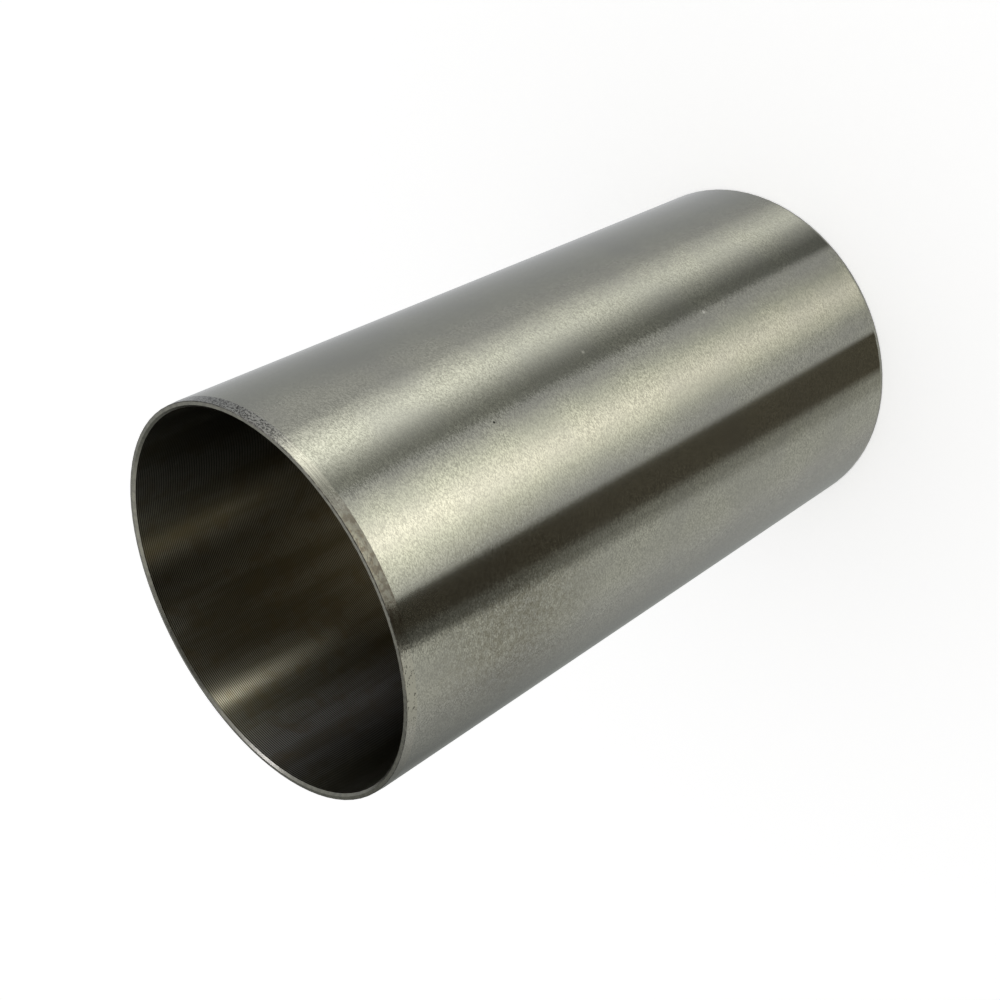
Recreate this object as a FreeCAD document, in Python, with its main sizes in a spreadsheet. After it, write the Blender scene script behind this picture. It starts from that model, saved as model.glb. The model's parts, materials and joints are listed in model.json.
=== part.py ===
import FreeCAD, Part
import Sketcher
import os

# Flangeless dry cylinder liner: one thin sleeve, ground outside and bored inside.
# It stands on its plain end. The axis is +Z, the foot is at z = 0, and the end that
# enters the engine block first, with its tapered lead-in, is at the top.

# Driving dimensions in millimetres: name, size and what it measures.
DIMENSIONS = (
    ("bore_diameter", 87.0, "inside wall"),
    ("wall_thickness", 1.5, "from the bore to the ground outside"),
    ("liner_length", 167.0, "from the foot to the top face"),
    ("lead_in_length", 2.5, "height of the tapered band below the top face"),
    ("lead_in_drop", 0.15, "how far the band closes in, on the radius, at the top face"),
    ("bore_chamfer", 0.5, "both legs of the chamfer at each mouth of the bore"),
    ("top_edge_break", 0.15, "rounding between the lead-in and the top face"),
    ("foot_edge_break", 0.3, "rounding between the ground outside and the foot"),
)

# Heights and radii that several features share, as formulas on the dimensions.
BORE_RADIUS = "Dimensions.bore_diameter / 2"
OUTSIDE_RADIUS = "Dimensions.bore_diameter / 2 + Dimensions.wall_thickness"
TOP_HEIGHT = "Dimensions.liner_length"
FOOT_HEIGHT = "0"
LEAD_IN_FOOT = "Dimensions.liner_length - Dimensions.lead_in_length"
LEAD_IN_TIP_RADIUS = OUTSIDE_RADIUS + " - Dimensions.lead_in_drop"

# How far the cutting section of the lead-in stands clear of the sleeve.
CUT_CLEARANCE = "1"

# Largest difference, in millimetres, between an edge and the place it is looked for.
EDGE_TOLERANCE = 0.001


def fill_sheet(doc):
    """The spreadsheet of driving dimensions, each cell with its name as alias."""
    sheet = doc.addObject("Spreadsheet::Sheet", "Dimensions")
    for row, (name, size, meaning) in enumerate(DIMENSIONS, start=1):
        sheet.set(f"A{row}", name)
        sheet.set(f"B{row}", str(size))
        sheet.setAlias(f"B{row}", name)
        sheet.set(f"C{row}", meaning)
    doc.recompute()
    return sheet


def origin_plane(body, role):
    """One of the body's own origin planes, by its role."""
    return next(plane for plane in body.Origin.OriginFeatures if plane.Role == role)


def turned_section(body, sheet, name, corners):
    """A closed sketch in the XZ plane. Each corner is a pair of formulas: radius, height."""
    sketch = body.newObject("Sketcher::SketchObject", name)
    sketch.AttachmentSupport = [(origin_plane(body, "XZ_Plane"), "")]
    sketch.MapMode = "FlatFace"
    places = [
        FreeCAD.Vector(sheet.evalExpression(radius), sheet.evalExpression(height), 0)
        for radius, height in corners
    ]
    count = len(places)
    for side in range(count):
        sketch.addGeometry(Part.LineSegment(places[side], places[(side + 1) % count]), False)
    for side in range(count):
        sketch.addConstraint(Sketcher.Constraint("Coincident", side, 2, (side + 1) % count, 1))
    for side, ((radius, height), place) in enumerate(zip(corners, places)):
        across = sketch.addConstraint(Sketcher.Constraint("DistanceX", -1, 1, side, 1, place.x))
        sketch.setExpression(f"Constraints[{across}]", radius)
        up = sketch.addConstraint(Sketcher.Constraint("DistanceY", -1, 1, side, 1, place.y))
        sketch.setExpression(f"Constraints[{up}]", height)
    return sketch


def turn(body, kind, name, sketch):
    """A full turn of a section round the vertical axis, adding or cutting."""
    feature = body.newObject(kind, name)
    feature.Profile = sketch
    feature.ReferenceAxis = (sketch, ["V_Axis"])
    feature.Angle = 360
    sketch.Visibility = False
    body.Document.recompute()
    return feature


def circles(shape, sheet, radius, height):
    """Names of the circular edges of a given radius and height, both given as formulas."""
    wanted_radius = sheet.evalExpression(radius)
    wanted_height = sheet.evalExpression(height)
    found = []
    for number, edge in enumerate(shape.Edges, start=1):
        curve = edge.Curve
        if not isinstance(curve, Part.Circle):
            continue
        if abs(curve.Radius - wanted_radius) > EDGE_TOLERANCE:
            continue
        if abs(curve.Center.z - wanted_height) > EDGE_TOLERANCE:
            continue
        found.append(f"Edge{number}")
    if not found:
        raise RuntimeError(f"no circle of radius {wanted_radius} at height {wanted_height}")
    return found


def dress_edges(body, kind, name, edges, size_property, size):
    """A chamfer or a fillet on named edges of the body so far."""
    base = body.Tip
    feature = body.newObject(kind, name)
    feature.Base = (base, edges)
    feature.setExpression(size_property, size)
    body.Document.recompute()
    if feature.Shape.isNull() or not feature.Shape.Volume < base.Shape.Volume:
        raise RuntimeError(f"{name} takes nothing off the sleeve")
    return feature


def build_liner(doc, sheet):
    """The sleeve: its turned wall, the lead-in, the bore's chamfers and the edge breaks."""
    body = doc.addObject("PartDesign::Body", "Liner")
    body.Label = "liner"

    wall_section = turned_section(body, sheet, "WallSection", (
        (BORE_RADIUS, FOOT_HEIGHT),
        (OUTSIDE_RADIUS, FOOT_HEIGHT),
        (OUTSIDE_RADIUS, TOP_HEIGHT),
        (BORE_RADIUS, TOP_HEIGHT),
    ))
    wall = turn(body, "PartDesign::Revolution", "SleeveWall", wall_section)

    # The taper closes from the full outside down to its tip at the top face.
    # The other corners only stand clear of the sleeve.
    lead_in_section = turned_section(body, sheet, "LeadInSection", (
        (OUTSIDE_RADIUS, LEAD_IN_FOOT),
        (f"{OUTSIDE_RADIUS} + {CUT_CLEARANCE}", LEAD_IN_FOOT),
        (f"{OUTSIDE_RADIUS} + {CUT_CLEARANCE}", f"{TOP_HEIGHT} + {CUT_CLEARANCE}"),
        (LEAD_IN_TIP_RADIUS, f"{TOP_HEIGHT} + {CUT_CLEARANCE}"),
        (LEAD_IN_TIP_RADIUS, TOP_HEIGHT),
    ))
    lead_in = turn(body, "PartDesign::Groove", "LeadIn", lead_in_section)
    if not lead_in.Shape.Volume < wall.Shape.Volume:
        raise RuntimeError("the lead-in takes nothing off the sleeve")

    mouths = circles(lead_in.Shape, sheet, BORE_RADIUS, TOP_HEIGHT)
    mouths += circles(lead_in.Shape, sheet, BORE_RADIUS, FOOT_HEIGHT)
    chamfers = dress_edges(
        body, "PartDesign::Chamfer", "BoreChamfers", mouths, "Size", "Dimensions.bore_chamfer"
    )

    tip = circles(chamfers.Shape, sheet, LEAD_IN_TIP_RADIUS, TOP_HEIGHT)
    top_break = dress_edges(
        body, "PartDesign::Fillet", "TopEdgeBreak", tip, "Radius", "Dimensions.top_edge_break"
    )

    foot = circles(top_break.Shape, sheet, OUTSIDE_RADIUS, FOOT_HEIGHT)
    dress_edges(
        body, "PartDesign::Fillet", "FootEdgeBreak", foot, "Radius", "Dimensions.foot_edge_break"
    )
    return body


def check_document(doc):
    """Stops if any object of the document was left failed by the last recompute."""
    for item in doc.Objects:
        if "Invalid" in item.State or "Error" in item.State:
            raise RuntimeError(f"{item.Name} is {item.State}")


def write_body(body):
    """Writes one sub-part, once its shape is known to be one whole solid."""
    shape = body.Shape
    if shape.isNull() or not shape.isValid() or len(shape.Solids) != 1:
        raise RuntimeError(f"{body.Label} is not one valid solid")
    shape.exportStep(f"parts/{body.Label}.step")
    box = shape.optimalBoundingBox(True, False)
    print(
        f"{body.Label}: {box.XLength:.3f} x {box.YLength:.3f} x {box.ZLength:.3f} mm, "
        f"{shape.Volume:.1f} cubic mm, {len(shape.Faces)} faces"
    )


def main():
    """Builds the document, checks it and writes its one sub-part."""
    os.makedirs("parts", exist_ok=True)
    doc = FreeCAD.newDocument("CylinderLiner")
    sheet = fill_sheet(doc)
    liner = build_liner(doc, sheet)
    doc.recompute()
    check_document(doc)
    write_body(liner)


main()
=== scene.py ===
"""Looks of the cylinder liner: one thin cast iron sleeve, ground outside and fine bored inside.

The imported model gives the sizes. The sleeve is made again as one closed surface that also
carries the turning grooves of its bore, and each machined zone gets its own finish. Lengths
are millimetres in the sizes below and metres in the meshes. A bearing is a direction seen
from above in degrees, 0 towards the camera's side (-Y) and growing clockwise.
"""

import json
import logging
import math
from abc import ABC, abstractmethod
from dataclasses import dataclass
from enum import Enum

import bpy
import numpy as np
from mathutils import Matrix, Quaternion, Vector


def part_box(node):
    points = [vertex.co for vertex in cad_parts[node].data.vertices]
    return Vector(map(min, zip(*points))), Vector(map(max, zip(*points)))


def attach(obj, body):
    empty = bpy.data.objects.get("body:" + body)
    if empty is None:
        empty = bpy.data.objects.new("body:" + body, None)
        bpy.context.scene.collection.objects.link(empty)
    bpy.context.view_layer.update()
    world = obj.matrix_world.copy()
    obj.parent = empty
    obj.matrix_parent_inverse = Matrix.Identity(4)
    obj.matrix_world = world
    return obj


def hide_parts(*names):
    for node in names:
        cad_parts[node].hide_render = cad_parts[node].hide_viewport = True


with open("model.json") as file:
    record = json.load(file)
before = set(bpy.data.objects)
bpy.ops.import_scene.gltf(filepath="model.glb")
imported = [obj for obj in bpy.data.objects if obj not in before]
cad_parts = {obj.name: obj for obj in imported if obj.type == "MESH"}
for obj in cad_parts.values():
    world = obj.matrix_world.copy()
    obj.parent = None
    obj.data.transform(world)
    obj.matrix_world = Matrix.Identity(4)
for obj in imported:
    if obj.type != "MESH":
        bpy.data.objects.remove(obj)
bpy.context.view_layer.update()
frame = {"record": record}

Colour = tuple[float, float, float, float]
Material = bpy.types.Material
Point = tuple[float, float]
Socket = bpy.types.NodeSocket
Tree = bpy.types.NodeTree

LOG = logging.getLogger("cylinder_liner")
MM = 0.001
NODE = "liner"
WHITE = "#FFFFFF"


def linear(hex_colour: str) -> Colour:
    """Turns an sRGB hex colour into the linear colour that a shader takes.

    Args:
        hex_colour: six hex digits after a hash, such as "#908F86".

    Returns:
        Red, green, blue and an alpha of one.
    """
    channels = np.array([int(hex_colour[at:at + 2], 16) for at in (1, 3, 5)]) / 255
    low = channels / 12.92
    high = ((channels + 0.055) / 1.055) ** 2.4
    red, green, blue = np.where(channels <= 0.04045, low, high)
    return float(red), float(green), float(blue), 1.0


def add_node(tree: Tree, kind: str, inputs: dict | None = None, **settings: object) -> bpy.types.Node:
    """Adds one node with its settings, its constant inputs and its links.

    Args:
        tree: the tree that gets the node.
        kind: its type name, without the leading ShaderNode.
        inputs: socket name or number, with a constant or the output socket to link from.
        **settings: properties of the node itself.

    Returns:
        The new node.
    """
    node = tree.nodes.new("ShaderNode" + kind)
    for name, value in settings.items():
        setattr(node, name, value)
    for socket, value in (inputs or {}).items():
        if isinstance(value, Socket):
            tree.links.new(value, node.inputs[socket])
        else:
            node.inputs[socket].default_value = value
    return node


def open_material(name: str) -> tuple[Material, Tree]:
    """Makes a material with an empty node tree.

    Args:
        name: the material's name.

    Returns:
        The material and its tree.
    """
    made = bpy.data.materials.new(name)
    made.use_nodes = True
    made.node_tree.nodes.clear()
    return made, made.node_tree


def toward(bearing: np.ndarray | float) -> np.ndarray:
    """Unit vectors on the floor for bearings in degrees: (-sin b, -cos b, 0)."""
    angle = np.radians(bearing)
    return np.stack([-np.sin(angle), -np.cos(angle), np.zeros_like(angle)], axis=-1)


class Zone(Enum):
    """The machined zones of the sleeve, each with the number of its material."""

    GROUND = 0
    LEAD_IN = 1
    EDGE = 2
    FACED = 3
    BORED = 4


@dataclass(frozen=True)
class SleeveSizes:
    """Sizes of the sleeve in millimetres.

    Attributes:
        bore_radius: radius of the bore, at the crests of its grooves.
        outside_radius: radius of the ground wall.
        length: height of the sleeve.
        lead_in_length: height of the tapered band at the top.
        foot_break: rounding between the ground wall and the foot.
        bore_chamfer: both legs of the chamfer at each mouth.
        lead_in_drop: how far the tapered band closes in, on the radius.
        top_break: rounding between the tapered band and the top face.
        nominal_pitch: height of one turning groove.
        groove_depth: depth of a groove.
    """

    bore_radius: float
    outside_radius: float
    length: float
    lead_in_length: float
    foot_break: float
    bore_chamfer: float
    lead_in_drop: float = 0.15
    top_break: float = 0.15
    nominal_pitch: float = 0.47
    groove_depth: float = 0.03

    @classmethod
    def from_frame(cls) -> "SleeveSizes":
        """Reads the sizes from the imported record's mounts and the node's box.

        Returns:
            The sizes.
        """
        mounts = {mount["name"]: mount for mount in frame["record"]["mounts"]}
        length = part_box(NODE)[1].z / MM
        ground_length = mounts["outside"]["dims"]["length_mm"]
        ground_middle = mounts["outside"]["pos_m"][2] / MM
        return cls(
            bore_radius=mounts["bore"]["dims"]["r_mm"],
            outside_radius=mounts["outside"]["dims"]["r_mm"],
            length=length,
            lead_in_length=length - (ground_middle + ground_length / 2),
            foot_break=ground_middle - ground_length / 2,
            bore_chamfer=(length - mounts["bore"]["dims"]["length_mm"]) / 2,
        )

    @property
    def bore_top(self) -> float:
        """Height at which the bore's first groove starts."""
        return self.length - self.bore_chamfer

    @property
    def groove_count(self) -> int:
        """Whole grooves along the bore."""
        return round((self.bore_top - self.bore_chamfer) / self.nominal_pitch)

    @property
    def groove_pitch(self) -> float:
        """Height of one groove, so that whole grooves fill the bore."""
        return (self.bore_top - self.bore_chamfer) / self.groove_count


@dataclass(frozen=True)
class Stretch:
    """One stretch of the sleeve's section.

    Attributes:
        radii: distance of each point from the axis, in millimetres.
        heights: height of each point.
        zone: the machined zone of its faces.
        creases: whether the row at each point is a sharp edge.
    """

    radii: np.ndarray
    heights: np.ndarray
    zone: Zone
    creases: np.ndarray


@dataclass
class Sleeve:
    """The liner's one solid, carried round the axis from its section.

    Attributes:
        sizes: its sizes.
        segments: faces round the axis.
        wall_rows: rows of faces up the ground wall.
        arc_rows: rows in a rounding.
        groove_rows: rows in one turning groove.
        support: width of the narrow rows that keep the shading flat beside a rounding.
    """

    sizes: SleeveSizes
    segments: int = 84
    wall_rows: int = 8
    arc_rows: int = 6
    groove_rows: int = 3
    support: float = 0.05

    def line(self, start: Point, end: Point, zone: Zone, rows: int = 1, crease: bool = False) -> Stretch:
        """A straight stretch from start up to, but without, end.

        Args:
            start: radius and height of its first point.
            end: radius and height of the point that the next stretch starts with.
            zone: the machined zone of its faces.
            rows: how many rows it holds.
            crease: whether its first row is a sharp edge.

        Returns:
            The stretch, with point k at start + (end - start) k / rows.
        """
        share = np.arange(rows) / rows
        creases = np.zeros(rows, dtype=bool)
        creases[0] = crease
        radii = start[0] + (end[0] - start[0]) * share
        heights = start[1] + (end[1] - start[1]) * share
        return Stretch(radii, heights, zone, creases)

    def arc(self, centre: Point, radius: float, first: float, last: float, zone: Zone) -> Stretch:
        """A rounding of the section from one angle to another, without its last point.

        Args:
            centre: radius and height of the rounding's centre.
            radius: the rounding's own radius.
            first: first angle in degrees, 0 outward and 90 up.
            last: last angle in degrees.
            zone: the machined zone of its faces.

        Returns:
            The stretch, with points centre + radius (cos a, sin a).
        """
        angle = np.radians(np.linspace(first, last, self.arc_rows + 1))[:-1]
        radii = centre[0] + radius * np.cos(angle)
        heights = centre[1] + radius * np.sin(angle)
        return Stretch(radii, heights, zone, np.zeros(self.arc_rows, dtype=bool))

    def bore_grooves(self) -> Stretch:
        """The bore from its top to its foot as the scallops of a round-nosed tool.

        A share w of the way down a groove, its surface lies groove depth times 4 w (1 - w)
        behind the bore's radius. Crests, at w = 0, stay at that radius and are sharp.

        Returns:
            The stretch.
        """
        sizes = self.sizes
        row = np.arange(self.groove_rows * sizes.groove_count)
        share = (row % self.groove_rows) / self.groove_rows
        heights = sizes.bore_top - sizes.groove_pitch * row / self.groove_rows
        radii = sizes.bore_radius + sizes.groove_depth * 4 * share * (1 - share)
        return Stretch(radii, heights, Zone.BORED, share == 0)

    def section(self) -> list[Stretch]:
        """The closed section, up the outside, in over the top, down the bore and out at the foot.

        Returns:
            The stretches, each ending where the next one starts.
        """
        sizes = self.sizes
        outside, bore, length = sizes.outside_radius, sizes.bore_radius, sizes.length
        foot, tip, chamfer = sizes.foot_break, sizes.top_break, sizes.bore_chamfer
        shoulder = length - sizes.lead_in_length
        slant = math.hypot(sizes.lead_in_length, sizes.lead_in_drop)
        tilt = math.degrees(math.atan2(sizes.lead_in_drop, sizes.lead_in_length))
        # The tip's centre lies one rounding below the top face and one inside the taper.
        tip_height = length - tip
        taper_in = (tip * slant + sizes.lead_in_drop * (tip_height - shoulder)) / sizes.lead_in_length
        tip_centre = (outside - taper_in, tip_height)
        taper_end = (
            tip_centre[0] + tip * math.cos(math.radians(tilt)),
            tip_centre[1] + tip * math.sin(math.radians(tilt)),
        )
        mouth = bore + chamfer
        gap = self.support
        return [
            self.line((outside, foot), (outside, foot + gap), Zone.GROUND),
            self.line((outside, foot + gap), (outside, shoulder), Zone.GROUND, rows=self.wall_rows),
            self.line((outside, shoulder), (taper_end[0], taper_end[1] - gap), Zone.LEAD_IN, crease=True),
            self.line((taper_end[0], taper_end[1] - gap), taper_end, Zone.LEAD_IN),
            self.arc(tip_centre, tip, tilt, 90, Zone.EDGE),
            self.line((tip_centre[0], length), (tip_centre[0] - gap, length), Zone.FACED),
            self.line((tip_centre[0] - gap, length), (mouth, length), Zone.FACED),
            self.line((mouth, length), (bore, length - chamfer), Zone.FACED, crease=True),
            self.bore_grooves(),
            self.line((bore, chamfer), (mouth, 0), Zone.FACED, crease=True),
            self.line((mouth, 0), (outside - foot - gap, 0), Zone.FACED, crease=True),
            self.line((outside - foot - gap, 0), (outside - foot, 0), Zone.FACED),
            self.arc((outside - foot, foot), foot, -90, 0, Zone.EDGE),
        ]

    def build(self) -> bpy.types.Object:
        """Makes the closed mesh: point (row, turn) = (r cos a, r sin a, z) of its row.

        Returns:
            The sleeve's object, with its place in its mesh.
        """
        stretches = self.section()
        radii = np.concatenate([part.radii for part in stretches]) * MM
        heights = np.concatenate([part.heights for part in stretches]) * MM
        zones = np.concatenate([np.full(len(part.radii), part.zone.value) for part in stretches])
        creases = np.concatenate([part.creases for part in stretches])
        rows, turns = len(radii), self.segments
        angle = 2 * np.pi * np.arange(turns) / turns
        points = np.stack([
            radii[:, None] * np.cos(angle),
            radii[:, None] * np.sin(angle),
            np.broadcast_to(heights[:, None], (rows, turns)),
        ], axis=-1)
        row, turn = np.meshgrid(np.arange(rows), np.arange(turns), indexing="ij")
        next_row, next_turn = (row + 1) % rows, (turn + 1) % turns
        faces = np.stack([
            row * turns + turn,
            row * turns + next_turn,
            next_row * turns + next_turn,
            next_row * turns + turn,
        ], axis=-1).reshape(-1, 4)
        mesh = bpy.data.meshes.new("liner_sleeve")
        mesh.from_pydata(points.reshape(-1, 3), [], faces, shade_flat=False)
        mesh.polygons.foreach_set("material_index", np.repeat(zones, turns).astype(np.int32))
        self.mark_creases(mesh, creases)
        mesh.update()
        piece = bpy.data.objects.new("liner_sleeve", mesh)
        bpy.context.scene.collection.objects.link(piece)
        LOG.info("liner_sleeve: %d rows, %d triangles", rows, 2 * len(faces))
        return piece

    def mark_creases(self, mesh: bpy.types.Mesh, creases: np.ndarray) -> None:
        """Marks as sharp the edges that run round the sleeve on a crease's row.

        Args:
            mesh: the sleeve's mesh.
            creases: whether each row is a sharp edge.
        """
        ends = np.empty(2 * len(mesh.edges), dtype=np.int32)
        mesh.edges.foreach_get("vertices", ends)
        row_of_ends = ends.reshape(-1, 2) // self.segments
        sharp = (row_of_ends[:, 0] == row_of_ends[:, 1]) & creases[row_of_ends[:, 0]]
        attribute = mesh.attributes.new("sharp_edge", "BOOLEAN", "EDGE")
        attribute.data.foreach_set("value", sharp)

    def dress(self, piece: bpy.types.Object) -> None:
        """Gives each zone its finish, in the order of the zones' numbers.

        Args:
            piece: the sleeve's object.
        """
        finishes = {
            Zone.GROUND: GroundIron(),
            Zone.LEAD_IN: TurnedIron(),
            Zone.EDGE: FiledIron(),
            Zone.FACED: FacedIron(),
            Zone.BORED: BoredIron(crests=Crests(self.sizes.groove_pitch, self.sizes.bore_top)),
        }
        for zone in Zone:
            piece.data.materials.append(finishes[zone].material())
            LOG.info("finish of %s: %s", zone.name, piece.data.materials[-1].name)


class Pattern(ABC):
    """What a material draws from the point on the piece, in the piece's own Object coordinates.

    A mask is a pattern that is 1 where it is full and 0 where there is none of it.
    """

    @abstractmethod
    def draw(self, mix: "Recipe") -> Socket:
        """Draws the pattern in a material."""


class Recipe:
    """A material while it is mixed.

    Attributes:
        made: the material.
        tree: its node tree.
        place: the point on the piece.
        drawn: the patterns that are drawn already.
    """

    def __init__(self, name: str) -> None:
        """Opens the material.

        Args:
            name: the material's name.
        """
        self.made, self.tree = open_material(name)
        self.place = add_node(self.tree, "TexCoord").outputs["Object"]
        self.drawn: dict[Pattern, Socket] = {}

    def draw(self, pattern: Pattern) -> Socket:
        """Draws a pattern, once however many layers share it.

        Args:
            pattern: the pattern.

        Returns:
            What it draws.
        """
        if pattern not in self.drawn:
            self.drawn[pattern] = pattern.draw(self)
        return self.drawn[pattern]

    def measured(self, across: float, along: float) -> Socket:
        """The point on the piece, counted in steps across the axis and along it, in millimetres."""
        scale = (1 / (across * MM), 1 / (across * MM), 1 / (along * MM))
        return add_node(self.tree, "Mapping", {"Vector": self.place, "Scale": scale}).outputs[0]


@dataclass(frozen=True)
class Level(Pattern):
    """The point on the piece with its height taken out."""

    def draw(self, mix: Recipe) -> Socket:
        """Draws the point, with 0 for its Z."""
        factors = {0: mix.place, 1: (1.0, 1.0, 0.0)}
        return add_node(mix.tree, "VectorMath", factors, operation="MULTIPLY").outputs[0]


@dataclass(frozen=True)
class Cells(Pattern):
    """Cells that run round the axis, each with its own random colour.

    Attributes:
        length: a cell's length round the axis, in millimetres.
        width: its width along the axis.
    """

    length: float
    width: float

    def draw(self, mix: Recipe) -> Socket:
        """Draws the cells' colour."""
        laid = {"Vector": mix.measured(self.length, self.width), "Scale": 1.0}
        return add_node(mix.tree, "TexVoronoi", laid).outputs["Color"]


@dataclass(frozen=True)
class Picked(Pattern):
    """A mask of single cells, picked by their random colour.

    Attributes:
        cells: the cells.
        low: share of colour up to which a cell is 0.
        high: share from which it is 1.
        channel: the colour's channel that is looked at.
    """

    cells: Cells
    low: float
    high: float
    channel: int = 0

    def draw(self, mix: Recipe) -> Socket:
        """Draws the mask."""
        share = add_node(mix.tree, "SeparateColor", {0: mix.draw(self.cells)}).outputs[self.channel]
        return add_node(mix.tree, "MapRange", {0: share, 1: self.low, 2: self.high}).outputs[0]


@dataclass(frozen=True)
class Blotches(Pattern):
    """A mask of blotches, cut out of a noise.

    Attributes:
        size: grain of the noise, in millimetres.
        low: the noise up to which the mask is 0.
        high: the noise from which it is 1.
        detail: how many finer layers the noise has.
        stretch: a blotch's width over its length along the axis.
    """

    size: float
    low: float
    high: float
    detail: float = 2.0
    stretch: float = 1.0

    def draw(self, mix: Recipe) -> Socket:
        """Draws the mask.

        Args:
            mix: the material that is mixed.

        Returns:
            The mask.
        """
        laid = mix.measured(self.size, self.size / self.stretch)
        noise = add_node(mix.tree, "TexNoise", {"Vector": laid, "Scale": 1.0, "Detail": self.detail})
        return add_node(mix.tree, "MapRange", {
            0: noise.outputs["Fac"], 1: self.low, 2: self.high,
        }).outputs[0]


@dataclass(frozen=True)
class Spot(Pattern):
    """A mask of one round place, from a point's distance to its centre.

    Attributes:
        bearing: its bearing.
        height: its height, in millimetres.
        core: distance from its centre up to which it is full.
        radius: distance at which it ends.
        from_axis: its centre's distance from the axis.
    """

    bearing: float
    height: float
    core: float
    radius: float
    from_axis: float = 45.0

    def draw(self, mix: Recipe) -> Socket:
        """Draws the mask.

        Args:
            mix: the material that is mixed.

        Returns:
            The mask.
        """
        centre = toward(self.bearing) * self.from_axis + np.array([0, 0, self.height])
        distance = add_node(mix.tree, "VectorMath", {
            0: mix.place, 1: tuple(centre * MM),
        }, operation="DISTANCE")
        return add_node(mix.tree, "MapRange", {
            0: distance.outputs["Value"], 1: self.core * MM, 2: self.radius * MM, 3: 1.0, 4: 0.0,
        }).outputs[0]


@dataclass(frozen=True)
class Side(Pattern):
    """A mask of one side of the sleeve, from the cosine between a point's bearing and the side's.

    Attributes:
        bearing: the bearing of its middle.
        full: degrees from its middle up to which it is full.
        none: degrees at which it ends.
    """

    bearing: float
    full: float
    none: float

    def draw(self, mix: Recipe) -> Socket:
        """Draws the mask.

        Args:
            mix: the material that is mixed.

        Returns:
            The mask.
        """
        outward = add_node(mix.tree, "VectorMath", {0: mix.draw(Level())}, operation="NORMALIZE")
        cosine = add_node(mix.tree, "VectorMath", {
            0: outward.outputs[0], 1: tuple(toward(self.bearing)),
        }, operation="DOT_PRODUCT")
        none, full = (math.cos(math.radians(angle)) for angle in (self.none, self.full))
        return add_node(mix.tree, "MapRange", {0: cosine.outputs["Value"], 1: none, 2: full}).outputs[0]


@dataclass(frozen=True)
class Crests(Pattern):
    """A mask of the crests of the bore's grooves: 1/2 + 1/2 cos(2 pi (top - z) / pitch).

    Attributes:
        pitch: height of one groove, in millimetres.
        top: height of the first crest.
    """

    pitch: float
    top: float

    def draw(self, mix: Recipe) -> Socket:
        """Draws the mask.

        Args:
            mix: the material that is mixed.

        Returns:
            The mask.
        """
        height = add_node(mix.tree, "SeparateXYZ", {0: mix.place}).outputs["Z"]
        depth = add_node(mix.tree, "Math", {0: self.top * MM, 1: height}, operation="SUBTRACT")
        turned = add_node(mix.tree, "Math", {
            0: depth.outputs[0], 1: 2 * math.pi / (self.pitch * MM),
        }, operation="MULTIPLY")
        wave = add_node(mix.tree, "Math", {0: turned.outputs[0]}, operation="COSINE")
        return add_node(mix.tree, "MapRange", {0: wave.outputs[0], 1: -1.0, 2: 1.0}).outputs[0]


@dataclass(frozen=True)
class Both(Pattern):
    """Where two masks meet: their product."""

    one: Pattern
    other: Pattern

    def draw(self, mix: Recipe) -> Socket:
        """Draws the product of the two masks."""
        masks = {0: mix.draw(self.one), 1: mix.draw(self.other)}
        return add_node(mix.tree, "Math", masks, operation="MULTIPLY").outputs[0]


@dataclass(frozen=True)
class Layer:
    """A colour that lies over the metal where its mask says.

    Attributes:
        name: what it shows.
        colour: its colour.
        strength: how much of it shows where its mask is full.
        mask: its mask.
    """

    name: str
    colour: str
    strength: float
    mask: Pattern

    def lay(self, mix: Recipe, under: Socket | Colour) -> Socket:
        """Lays it over a colour.

        Args:
            mix: the material that is mixed.
            under: the colour that it lies over.

        Returns:
            The colour with the layer on it.
        """
        masked = {0: mix.draw(self.mask), 1: self.strength}
        share = add_node(mix.tree, "Math", masked, operation="MULTIPLY").outputs[0]
        colours = {"Factor": share, 6: under, 7: linear(self.colour)}
        return add_node(mix.tree, "Mix", colours, data_type="RGBA", label=self.name).outputs[2]


@dataclass(frozen=True)
class Iron(ABC):
    """Grey cast iron: what its machined surfaces share.

    Attributes:
        name: the material's name.
        colour: what the bare metal gives back of a white surrounding, and painted shade on the bored valleys
            and the filed edges.
        edge_colour: share of the plain rise towards grazing that iron really shows.
        roughness: how dull it is.
        anisotropy: how much more it smears across its tool marks than along them.
    """

    name: str
    colour: str
    roughness: float
    anisotropy: float
    edge_colour: str = "#E7E7E7"

    @abstractmethod
    def layers(self) -> list[Layer]:
        """The layers over the bare metal's colour, from the lowest up."""

    def relief(self, mix: Recipe) -> dict[str, Socket]:
        """What the surface's relief feeds, by the shader's socket: nothing on a plain surface."""
        return {}

    def material(self) -> Material:
        """Builds the shader.

        Its tangent runs round Z, and a quarter turn lays the smear across the tool marks.

        Returns:
            The material.
        """
        mix = Recipe(self.name)
        tone = linear(self.colour)
        for layer in self.layers():
            tone = layer.lay(mix, tone)
        tangent = add_node(mix.tree, "Tangent", direction_type="RADIAL", axis="Z")
        shader = add_node(mix.tree, "BsdfPrincipled", {
            "Base Color": tone, "Specular Tint": linear(self.edge_colour),
            "Metallic": 1.0, "Roughness": self.roughness,
            "Anisotropic": self.anisotropy, "Anisotropic Rotation": 0.25, "Tangent": tangent.outputs[0],
        } | self.relief(mix))
        add_node(mix.tree, "OutputMaterial", {"Surface": shader.outputs[0]})
        return mix.made


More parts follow.
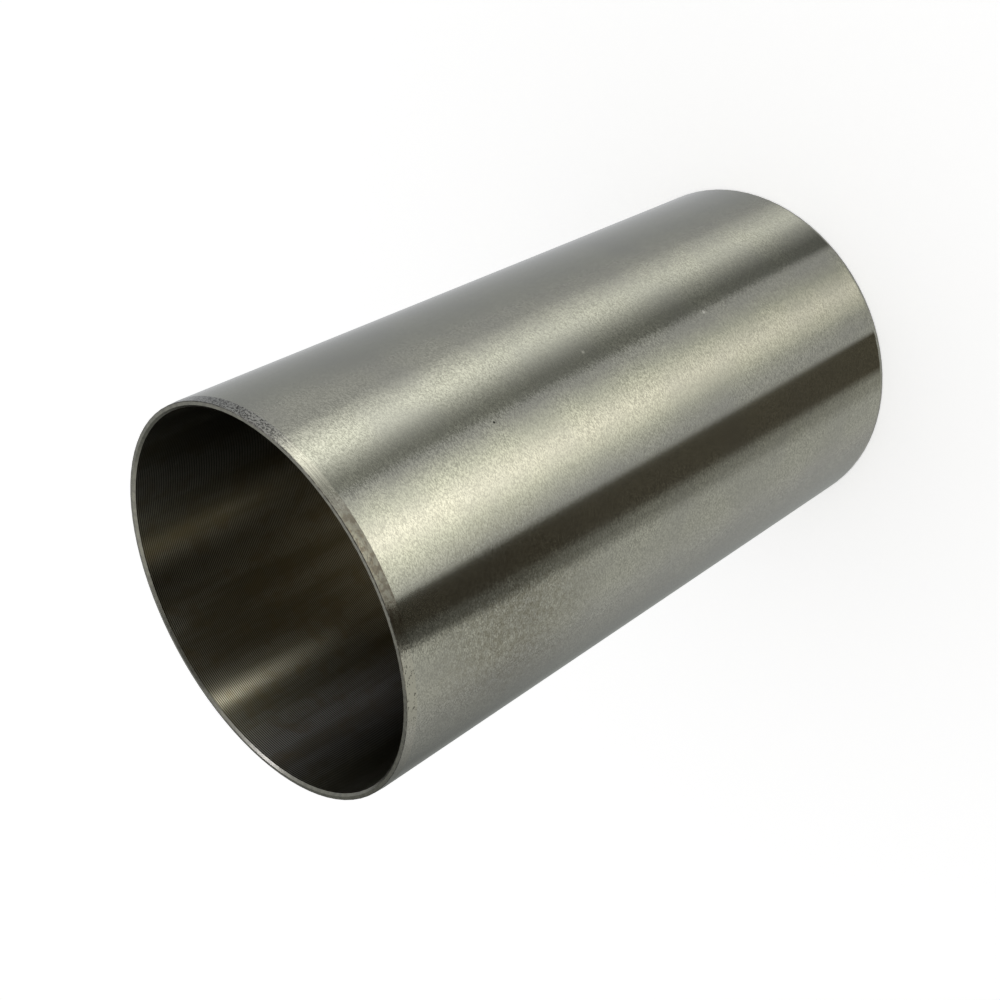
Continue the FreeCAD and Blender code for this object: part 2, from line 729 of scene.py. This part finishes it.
@dataclass(frozen=True)
class GrainyIron(Iron):
    """Iron whose flecks of grain differ in tone, and each lean out of the surface in their own way.

    Attributes:
        grain: the flecks.
        fleck_tilt: how far they lean, as a slope from end to end.
    """

    grain: Cells = Cells(0.33, 0.20)
    fleck_tilt: float = 0.02

    def relief(self, mix: Recipe) -> dict[str, Socket]:
        """The surface's normal with the flecks' lean: unit(n + tilt (colour - 1/2)).

        Args:
            mix: the material that is mixed.

        Returns:
            The normal, by the shader's socket.
        """
        way = add_node(mix.tree, "VectorMath", {
            0: mix.draw(self.grain), 1: (0.5, 0.5, 0.5),
        }, operation="SUBTRACT")
        straight = add_node(mix.tree, "NewGeometry").outputs["Normal"]
        leant = add_node(mix.tree, "VectorMath", {
            0: way.outputs[0], 1: (self.fleck_tilt,) * 3, 2: straight,
        }, operation="MULTIPLY_ADD")
        normal = add_node(mix.tree, "VectorMath", {0: leant.outputs[0]}, operation="NORMALIZE")
        return {"Normal": normal.outputs[0]}


@dataclass(frozen=True)
class GroundIron(GrainyIron):
    """Cylindrically ground: short fine scratches round the sleeve.

    To the eye it is a grey metal mirror that smears along the axis and sparkles in its lights.
    The scratches are far finer than a tenth of a millimetre, and are drawn coarse enough to show.
    """

    name: str = "iron_cylindrically_ground"
    colour: str = "#9A9A90"
    roughness: float = 0.145
    anisotropy: float = 0.4

    def layers(self) -> list[Layer]:
        """Its flecks' tones, a calm side, clouds, one stained patch, a speck and two nicks with painted
        glints.

        Returns:
            The layers.
        """
        patch = Spot(38.0, 137.0, core=6.0, radius=28.0)
        clumps = Blotches(1.2, 0.42, 0.62, detail=5.0)
        speckles = Picked(self.grain, 0.5, 0.85, channel=1)
        return [
            Layer("dark flecks", "#73736B", 1.0, Picked(self.grain, 0.0, 1.0)),
            Layer("calm side", "#87877E", 0.75, Side(-75.0, full=18.0, none=42.0)),
            Layer("clouds", "#7F7F7A", 0.5, Blotches(16.0, 0.4, 0.65)),
            Layer("clumps of stain", "#6C6A5E", 0.6, Both(clumps, patch)),
            Layer("speckles of stain", "#5A564A", 0.7, Both(speckles, patch)),
            Layer("black speck", "#171513", 1.0, Spot(-13.25, 124.4, core=0.15, radius=0.40)),
            # Two real nicks, each painted pale: their brightness is a painted glint.
            Layer("upper nick", "#D6D4CC", 0.7, Spot(-20.0, 92.4, core=0.0, radius=0.55)),
            Layer("lower nick", "#D6D4CC", 0.7, Spot(-15.0, 54.0, core=0.0, radius=0.6)),
        ]


@dataclass(frozen=True)
class TurnedIron(GrainyIron):
    """Turned lead-in: duller than the ground wall, with torn pits and short scratches.

    To the eye it is a mottled grey band with black specks on one side.
    """

    name: str = "iron_turned"
    colour: str = "#A2A197"
    edge_colour: str = "#DADADA"
    roughness: float = 0.17
    anisotropy: float = 0.0
    grain: Cells = Cells(0.30, 0.20)
    fleck_tilt: float = 0.04

    def layers(self) -> list[Layer]:
        """Its flecks' tones, stains in front, hairlines beside them and pits on both other sides.

        Returns:
            The layers.
        """
        front, between = Side(6.0, full=13.0, none=22.0), Side(-26.0, full=9.0, none=16.0)
        right, torn = Side(39.0, full=6.0, none=12.0), Side(-66.0, full=24.0, none=36.0)
        stains = Blotches(1.1, 0.45, 0.6, detail=3.0)
        hairlines = Picked(Cells(9.0, 0.16), 0.65, 0.75)
        many_pits, few_pits = Picked(self.grain, 0.56, 0.66), Picked(self.grain, 0.88, 0.93)
        return [
            Layer("dark flecks", "#86857C", 1.0, Picked(self.grain, 0.0, 1.0)),
            Layer("dull front", "#7A786C", 0.9, front),
            Layer("stains", "#5F584D", 0.75, Both(stains, front)),
            Layer("hairlines", "#5E5D57", 0.5, Both(hairlines, between)),
            Layer("dull right", "#89887E", 0.85, right),
            Layer("torn side", "#80807D", 0.85, torn),
            Layer("torn pits", "#20201E", 0.85, Both(many_pits, torn)),
            Layer("right pits", "#20201E", 0.85, Both(few_pits, right)),
        ]


@dataclass(frozen=True)
class FiledIron(Iron):
    """Edge broken with a file: a dull filed finish, drawn as a thin near-black line whose darkness is
    painted shade of the rounded edge.
    """

    name: str = "iron_filed_edge"
    # painted shade: the near-black colour stands for the dark line that the rounded edge shows in the light
    colour: str = "#34332F"
    roughness: float = 0.4
    anisotropy: float = 0.2

    def layers(self) -> list[Layer]:
        """Its lighter places."""
        return [Layer("lighter places", "#6A6963", 0.6, Blotches(0.8, 0.4, 0.65))]


@dataclass(frozen=True)
class FacedIron(Iron):
    """Faced on the lathe: the end rings and the mouths' chamfers, with rings of tool marks.

    To the eye it is a dark grey ring that flashes where its tool marks catch a light.

    Attributes:
        ring_pitch: distance between two rings, in millimetres.
        ring_depth: their depth.
    """

    name: str = "iron_faced"
    colour: str = "#7B7A70"
    roughness: float = 0.25
    anisotropy: float = 0.5
    ring_pitch: float = 0.18
    ring_depth: float = 0.001

    def layers(self) -> list[Layer]:
        """Its darker places."""
        return [Layer("darker places", "#62615C", 0.6, Blotches(1.2, 0.4, 0.65))]

    def relief(self, mix: Recipe) -> dict[str, Socket]:
        """Rings of tool marks, whose height is a noise of the distance from the axis.

        Args:
            mix: the material that is mixed.

        Returns:
            The normal, by the shader's socket.
        """
        radius = add_node(mix.tree, "VectorMath", {0: mix.draw(Level())}, operation="LENGTH")
        rings = add_node(mix.tree, "TexNoise", {
            "W": radius.outputs["Value"], "Scale": 1 / (self.ring_pitch * MM), "Detail": 1.0,
        }, noise_dimensions="1D")
        bump = add_node(mix.tree, "Bump", {
            "Strength": 1.0, "Distance": self.ring_depth * MM, "Height": rings.outputs["Fac"],
        })
        return {"Normal": bump.outputs[0]}


@dataclass(frozen=True, kw_only=True)
class BoredIron(Iron):
    """Fine bored: the grooves are in the mesh, with painted shade in their valleys and a paler tone on their
    crests.

    To the eye it is dark, with crisp lines round it where a light falls in.

    Attributes:
        crests: where the grooves' crests are.
    """

    crests: Crests
    name: str = "iron_fine_bored"
    # painted shade: the near-black colour of the grooves' valleys
    colour: str = "#2A2926"
    roughness: float = 0.285
    anisotropy: float = 0.9

    def layers(self) -> list[Layer]:
        """Its pale crests over the valleys' painted shade, with streaks and blotches of oil over them.

        Returns:
            The layers.
        """
        return [
            # The crests' paler colour against the dark valleys paints the grooves' light and shade into the
            # colour.
            Layer("clean crests", "#838277", 1.0, self.crests),
            Layer("oil streaks", "#45412F", 0.55, Blotches(7.0, 0.42, 0.6, detail=3.0, stretch=0.12)),
            Layer("oil blotches", "#544D3A", 0.4, Blotches(5.0, 0.5, 0.65, detail=4.0)),
        ]


@dataclass(frozen=True)
class Card:
    """A studio card that the sleeve's wall mirrors as a band along it.

    Its two sides follow the mirror rays of two bearings on the wall, so the band that it makes
    stays straight. It lies on the floor, and a standing card goes on upwards where it ends.

    Attributes:
        name: the card's name.
        left: bearing on the wall of its left side, at the foot and far out.
        right: bearing on the wall of its right side, at the foot and far out.
        colour: its colour.
        levels: its brightness beside the sleeve's foot and far out, where white is 1.
        fades: shares of its width over which its left and its right side fade in.
        reach: how far it lies out on the floor, in millimetres.
        stands: whether it goes on upwards from there.
    """

    name: str
    left: tuple[float, float]
    right: tuple[float, float]
    colour: str
    levels: tuple[float, float]
    fades: tuple[float, float]
    reach: float = 1200.0
    stands: bool = True


@dataclass(frozen=True)
class Flag:
    """An upright studio card away from the sleeve, even up to one height and lighter above it.

    Attributes:
        name: the card's name.
        start: where its left end stands on the floor, in millimetres.
        end: the same for its right end.
        heights: its foot, the height from which its level changes, and its top.
        levels: its brightness below and at the top, where white is 1.
        fade: share of its width over which each end fades in.
    """

    name: str
    start: tuple[float, float]
    end: tuple[float, float]
    heights: tuple[float, float, float]
    levels: tuple[float, float]
    fade: float


@dataclass(frozen=True)
class Lamp:
    """An area lamp that faces the sleeve's middle. It lights the metal and leaves the floor alone.

    Attributes:
        name: the lamp's name.
        bearing: the side that it stands on, in degrees.
        height: its height in millimetres.
        away: its distance from the axis in millimetres.
        size: its width and height in millimetres.
        power: its power in watts.
        colour: its colour.
    """

    name: str
    bearing: float
    height: float
    away: float
    size: tuple[float, float]
    power: float
    colour: str


@dataclass
class Studio:
    """Floor, cards, lamps, world and camera around the sleeve. Lengths are millimetres.

    Attributes:
        sizes: the sleeve's sizes.
        camera_place: where the camera stands.
        camera_aim: what it looks at.
        camera_roll: how far it is turned about its own line of sight, in degrees.
        focal_length: its focal length.
        sensor_width: the width of its sensor.
        sees: the nearest and the farthest distance that it sees.
        floor_half: half the floor's side.
        floor_colour: the floor's colour.
        floor_lift: how much whiter it is where it is looked at.
        soft_colour: colour of the light from all round.
        soft_level: its strength.
        card_grid: points of a card across, out on the floor and up.
        card_start: how far from the wall a card starts.
        card_crowding: power that crowds a card's rows towards the sleeve.
        card_far: distance from the wall from which a card is as it is far out.
        card_rise: height of a standing card.
        card_lift: height of each card over the one before it.
        foot_lift: height of the round card in the sleeve's foot.
        foot_gap: clearance between it and the bore.
        foot_turns: points round it.
        foot_level: its brightness.
        foot_colour: its colour.
    """

    sizes: SleeveSizes
    camera_place: tuple[float, float, float] = (0.0, -267.5, 306.2)
    camera_aim: tuple[float, float, float] = (-4.61, 0.0, 98.26)
    camera_roll: float = -118.65
    focal_length: float = 51.95
    sensor_width: float = 36.0
    sees: tuple[float, float] = (10.0, 50000.0)
    floor_half: float = 4000.0
    floor_colour: str = "#E6E6E6"
    floor_lift: float = 0.52
    soft_colour: str = "#F4F4F4"
    soft_level: float = 0.7
    card_grid: tuple[int, int, int] = (33, 41, 25)
    card_start: float = 0.2
    card_crowding: float = 2.5
    card_far: float = 300.0
    card_rise: float = 900.0
    card_lift: float = 0.1
    foot_lift: float = 0.4
    foot_gap: float = 0.2
    foot_turns: int = 48
    foot_level: float = 1.7
    foot_colour: str = "#FFEFD2"

    def cards(self) -> list[Card]:
        """The cards, from the camera's left round to its right.

        Returns:
            The cards, each lying on the ones before.
        """
        return [
            Card("left_low", (-90, -90), (-36, -45), "#F8FAFC", (0.80, 0.80), (0.1, 0.28)),
            Card("left_card", (-76, -76), (-44, -46), "#F7F9FC", (0.90, 0.88), (0.4, 0.35)),
            Card("side_light", (-42, -35.5), (-20.5, -14.7), "#FFFFF7", (1.72, 3.0), (0.43, 0.55)),
            Card("thin_flag", (-29.5, -22.6), (-14.8, -13.0), "#FEFFF7", (0.33, 0.70), (0.64, 0.16)),
            Card("front_light", (-12.5, -13.8), (10.8, 15.8), "#FFFFF1", (1.12, 3.1), (0.27, 0.33),
                 reach=285, stands=False),
            Card("front_strip", (-8.0, -5.8), (7.5, 5.8), "#FFFBEF", (1.92, 4.5), (0.5, 0.5),
                 reach=285, stands=False),
            Card("pale_flag", (24, 24), (54, 50), "#FFFFF9", (0.98, 1.10), (0.05, 0.35)),
            Card("half_flag", (20, 20), (36.6, 26.4), "#FFFEF4", (0.70, 0.10), (0.02, 0.27)),
            Card("dark_flag", (14.4, 13.4), (30, 22.2), "#FFF3D8", (0.20, 0.09), (0.10, 0.2)),
            Card("right_card", (50, 41), (88, 88), "#FBFFFA", (0.50, 0.31), (0.57, 0.02)),
        ]

    def flags(self) -> list[Flag]:
        """The dark cards that the mouth's face and its chamfer mirror.

        Returns:
            The flags.
        """
        return [
            Flag("back_flag", (-430, 1500), (400, 1500), (0, 780, 1120), (0.23, 1.0), 0.2),
            Flag("left_flag", (-440, 1490), (-60, 1490), (0, 1250, 1600), (0.15, 1.0), 0.35),
            Flag("right_flag", (450, 1490), (2200, 1490), (0, 1400, 1900), (0.42, 1.0), 0.08),
            Flag("high_flag", (-1200, -650), (750, -650), (420, 2200, 2700), (0.04, 1.0), 0.12),
        ]

    def lamps(self) -> list[Lamp]:
        """Two soft lamps for the metal's shape, and two that shine into the bore.

        Returns:
            The lamps.
        """
        return [
            Lamp("overhead_softbox", 150, 1600, 500, (1400, 1400), 9, WHITE),
            Lamp("bore_strip", -37, 420, 1000, (90, 420), 5.6, "#FFFBEE"),
            Lamp("left_softbox", -87, 840, 1000, (500, 450), 8, "#F2EFFF"),
            Lamp("bore_glow", 60, 640, 1000, (140, 360), 3.4, "#FFF4DC"),
        ]

    def mirror_ray(self, bearing: np.ndarray) -> tuple[np.ndarray, np.ndarray]:
        """Where the wall's mirror rays start on the floor plan, and which way they leave.

        The camera's ray to the wall at bearing b arrives from bearing c. Seen from above, the
        mirror sends it off at 2 b - c, whatever the height.

        Args:
            bearing: bearings on the wall in degrees.

        Returns:
            Start points in millimetres and unit directions.
        """
        start = toward(bearing) * self.sizes.outside_radius
        back = np.array(self.camera_place) - start
        seen_from = np.degrees(np.arctan2(-back[..., 0], -back[..., 1]))
        return start, toward(2 * bearing - seen_from)

    def make_card(self, card: Card, lift: float) -> None:
        """Makes one card as a ruled sheet over the floor.

        Point (u, t) is start(b) + t direction(b), with b running from the left bearing to the
        right one as u runs from 0 to 1. Past the card's reach, t runs straight up instead.

        Args:
            card: the card.
            lift: its height over the floor in millimetres.
        """
        across, along, up = self.card_grid
        u = np.linspace(0, 1, across)[None, :]
        flat = self.card_start + card.reach * np.linspace(0, 1, along) ** self.card_crowding
        rise = np.concatenate([np.zeros(along), card.stands * self.card_rise * np.linspace(0, 1, up)[1:]])
        reach = np.concatenate([flat, np.full(up - 1, flat[-1])])
        outness = np.clip(reach / self.card_far, 0, 1)[:, None]
        left = card.left[0] + (card.left[1] - card.left[0]) * outness
        right = card.right[0] + (card.right[1] - card.right[0]) * outness
        start, direction = self.mirror_ray(left + (right - left) * u)
        points = start + direction * reach[:, None, None]
        points[..., 2] = lift + rise[:, None]
        rows = len(reach)
        row, column = np.meshgrid(np.arange(rows - 1), np.arange(across - 1), indexing="ij")
        corner = row * across + column
        faces = np.stack([corner, corner + 1, corner + across + 1, corner + across], axis=-1)
        coordinates = np.stack([
            np.broadcast_to(u, (rows, across)), np.broadcast_to(outness, (rows, across)),
        ], axis=-1)
        finish = self.card_material(card.name, card.colour, card.levels, card.fades)
        self.hang_sheet(card.name, points, faces.reshape(-1, 4), coordinates, finish)

    def make_flag(self, flag: Flag) -> None:
        """Makes one upright card: point (u, row) is start + u (end - start), at the row's height.

        Args:
            flag: the card.
        """
        u = np.repeat([[0.0, 1.0]], 3, axis=0)
        start, end = np.array([*flag.start, 0.0]), np.array([*flag.end, 0.0])
        points = start + (end - start) * u[..., None]
        points[..., 2] = np.array(flag.heights)[:, None]
        coordinates = np.stack([u, np.array([[0.0, 0.0], [0.0, 0.0], [1.0, 1.0]])], axis=-1)
        faces = np.array([[0, 1, 3, 2], [2, 3, 5, 4]])
        finish = self.card_material(flag.name, WHITE, flag.levels, (flag.fade, flag.fade))
        self.hang_sheet(flag.name, points, faces, coordinates, finish)

    def make_foot_card(self) -> None:
        """Makes the warm round card that the bore mirrors at its foot.

        Point (ring, turn) is (r sin a, r cos a). All of it counts as midway across, so it
        has no fading side.
        """
        turns = self.foot_turns
        angle = 2 * np.pi * np.arange(turns) / turns
        radius = np.array([0.0, self.sizes.bore_radius - self.foot_gap])[:, None]
        level = np.full((2, turns), self.foot_lift)
        points = np.stack([radius * np.sin(angle), radius * np.cos(angle), level], axis=-1)
        turn = np.arange(turns)
        faces = np.stack([turn, turns + turn, turns + (turn + 1) % turns], axis=-1)
        middle = np.full((2, turns, 2), 0.5)
        finish = self.card_material("foot_card", self.foot_colour, (self.foot_level,) * 2, (0.1, 0.1))
        self.hang_sheet("foot_card", points, faces, middle, finish)

    def hang_sheet(self, name: str, points: np.ndarray, faces: np.ndarray, coordinates: np.ndarray,
                   finish: Material) -> None:
        """Adds one sheet to the studio, seen only in the metal's reflections.

        Args:
            name: the sheet's name.
            points: its points in millimetres.
            faces: its faces as point numbers.
            coordinates: each point's place across and out, both from 0 to 1.
            finish: its material.
        """
        mesh = bpy.data.meshes.new(name)
        mesh.from_pydata((points * MM).reshape(-1, 3), [], faces)
        layer = mesh.uv_layers.new(name="across_and_out")
        corners = np.empty(len(mesh.loops), dtype=np.int32)
        mesh.loops.foreach_get("vertex_index", corners)
        layer.data.foreach_set("uv", coordinates.reshape(-1, 2)[corners].ravel())
        mesh.materials.append(finish)
        sheet = bpy.data.objects.new(name, mesh)
        bpy.context.scene.collection.objects.link(sheet)
        for rays in ("camera", "diffuse", "transmission", "volume_scatter", "shadow"):
            setattr(sheet, "visible_" + rays, False)
        LOG.info("card %s", name)

    def card_material(self, name: str, colour: str, levels: tuple[float, float],
                      fades: tuple[float, float]) -> Material:
        """A plain glowing card that fades out at its two sides and changes its level on the way out.

        Args:
            name: the card's name.
            colour: its colour.
            levels: its brightness at the foot and far out.
            fades: shares of its width over which its left and right sides fade.

        Returns:
            The material.
        """
        made, tree = open_material("card_" + name)
        made.cycles.emission_sampling = "NONE"
        layer = add_node(tree, "UVMap", uv_map="across_and_out")
        split = add_node(tree, "SeparateXYZ", {0: layer.outputs[0]})
        fade_in = add_node(tree, "MapRange", {0: split.outputs["X"], 1: 0.0, 2: fades[0]})
        fade_out = add_node(tree, "MapRange", {
            0: split.outputs["X"], 1: 1.0 - fades[1], 2: 1.0, 3: 1.0, 4: 0.0,
        })
        cover = add_node(tree, "Math", {0: fade_in.outputs[0], 1: fade_out.outputs[0]}, operation="MULTIPLY")
        level = add_node(tree, "MapRange", {0: split.outputs["Y"], 3: levels[0], 4: levels[1]})
        glow = add_node(tree, "Emission", {0: linear(colour), 1: level.outputs[0]})
        clear = add_node(tree, "BsdfTransparent")
        mix = add_node(tree, "MixShader", {0: cover.outputs[0], 1: clear.outputs[0], 2: glow.outputs[0]})
        add_node(tree, "OutputMaterial", {"Surface": mix.outputs[0]})
        return made

    def seen_rays(self, tree: Tree) -> Socket:
        """One for camera, glossy and transmission rays, which all see the white background.

        Args:
            tree: the tree that asks.

        Returns:
            One for such a ray, and zero for the others.
        """
        path = add_node(tree, "LightPath")
        seen = 0.0
        for kind in ("Is Camera Ray", "Is Glossy Ray", "Is Transmission Ray"):
            either = {0: seen, 1: path.outputs[kind]}
            seen = add_node(tree, "Math", either, operation="MAXIMUM").outputs[0]
        return seen

    def make_world(self) -> None:
        """Soft studio light from all round, shown white where it is looked at."""
        world = bpy.data.worlds.new("studio")
        bpy.context.scene.world = world
        world.use_nodes = True
        tree = world.node_tree
        tree.nodes.clear()
        soft = add_node(tree, "Background", {
            "Color": linear(self.soft_colour), "Strength": self.soft_level,
        })
        white = add_node(tree, "Background", {"Color": linear(WHITE), "Strength": 1.0})
        mix = add_node(tree, "MixShader", {
            0: self.seen_rays(tree), 1: soft.outputs[0], 2: white.outputs[0],
        })
        add_node(tree, "OutputWorld", {"Surface": mix.outputs[0]})

    def make_floor(self) -> None:
        """A pale floor that keeps the sleeve's shadow and is lifted to white where it is looked at."""
        half = self.floor_half * MM
        corners = [(-half, -half, 0), (half, -half, 0), (half, half, 0), (-half, half, 0)]
        mesh = bpy.data.meshes.new("floor")
        mesh.from_pydata(corners, [], [(0, 1, 2, 3)])
        floor = bpy.data.objects.new("floor", mesh)
        bpy.context.scene.collection.objects.link(floor)
        made, tree = open_material("floor_pale_card")
        made.cycles.emission_sampling = "NONE"
        paint = add_node(tree, "BsdfDiffuse", {"Color": linear(self.floor_colour)})
        lift = add_node(tree, "Math", {0: self.seen_rays(tree), 1: self.floor_lift}, operation="MULTIPLY")
        glow = add_node(tree, "Emission", {0: linear(WHITE), 1: lift.outputs[0]})
        both = add_node(tree, "AddShader", {0: paint.outputs[0], 1: glow.outputs[0]})
        add_node(tree, "OutputMaterial", {"Surface": both.outputs[0]})
        mesh.materials.append(made)
        LOG.info("floor")

    def make_lamp(self, lamp: Lamp) -> None:
        """Hangs one lamp and turns it to the sleeve's middle.

        Args:
            lamp: the lamp.
        """
        data = bpy.data.lights.new(lamp.name, "AREA")
        data.shape = "RECTANGLE"
        data.size, data.size_y = lamp.size[0] * MM, lamp.size[1] * MM
        data.energy = lamp.power
        data.color = linear(lamp.colour)[:3]
        hung = bpy.data.objects.new(lamp.name, data)
        place = Vector(toward(lamp.bearing) * lamp.away) + Vector((0, 0, lamp.height))
        aim = Vector((0, 0, self.sizes.length / 2)) - place
        hung.location = place * MM
        hung.rotation_mode = "QUATERNION"
        hung.rotation_quaternion = aim.to_track_quat("-Z", "Y")
        hung.visible_diffuse = False
        bpy.context.scene.collection.objects.link(hung)
        LOG.info("lamp %s", lamp.name)

    def make_camera(self) -> None:
        """The photograph's camera: it looks down into the bore and is rolled onto its side."""
        data = bpy.data.cameras.new("photo_camera")
        data.sensor_width = self.sensor_width
        data.lens = self.focal_length
        data.clip_start, data.clip_end = self.sees[0] * MM, self.sees[1] * MM
        camera = bpy.data.objects.new("photo_camera", data)
        place, aim = Vector(self.camera_place), Vector(self.camera_aim)
        camera.location = place * MM
        camera.rotation_mode = "QUATERNION"
        roll = Quaternion((0, 0, 1), math.radians(self.camera_roll))
        camera.rotation_quaternion = (aim - place).to_track_quat("-Z", "Y") @ roll
        bpy.context.scene.collection.objects.link(camera)
        bpy.context.scene.camera = camera

    def build(self) -> None:
        """Builds the studio."""
        bpy.context.scene.view_settings.view_transform = "Standard"
        self.make_camera()
        self.make_world()
        self.make_floor()
        for number, card in enumerate(self.cards(), start=1):
            self.make_card(card, number * self.card_lift)
        for flag in self.flags():
            self.make_flag(flag)
        self.make_foot_card()
        for lamp in self.lamps():
            self.make_lamp(lamp)


def main() -> None:
    """Builds the studio and the sleeve."""
    logging.basicConfig(level=logging.INFO, format="%(name)s: %(message)s")
    sizes = SleeveSizes.from_frame()
    LOG.info("sizes: %s", sizes)
    Studio(sizes).build()
    sleeve = Sleeve(sizes)
    piece = sleeve.build()
    sleeve.dress(piece)
    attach(piece, "root")
    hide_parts(NODE)


if __name__ == "__main__":
    main()
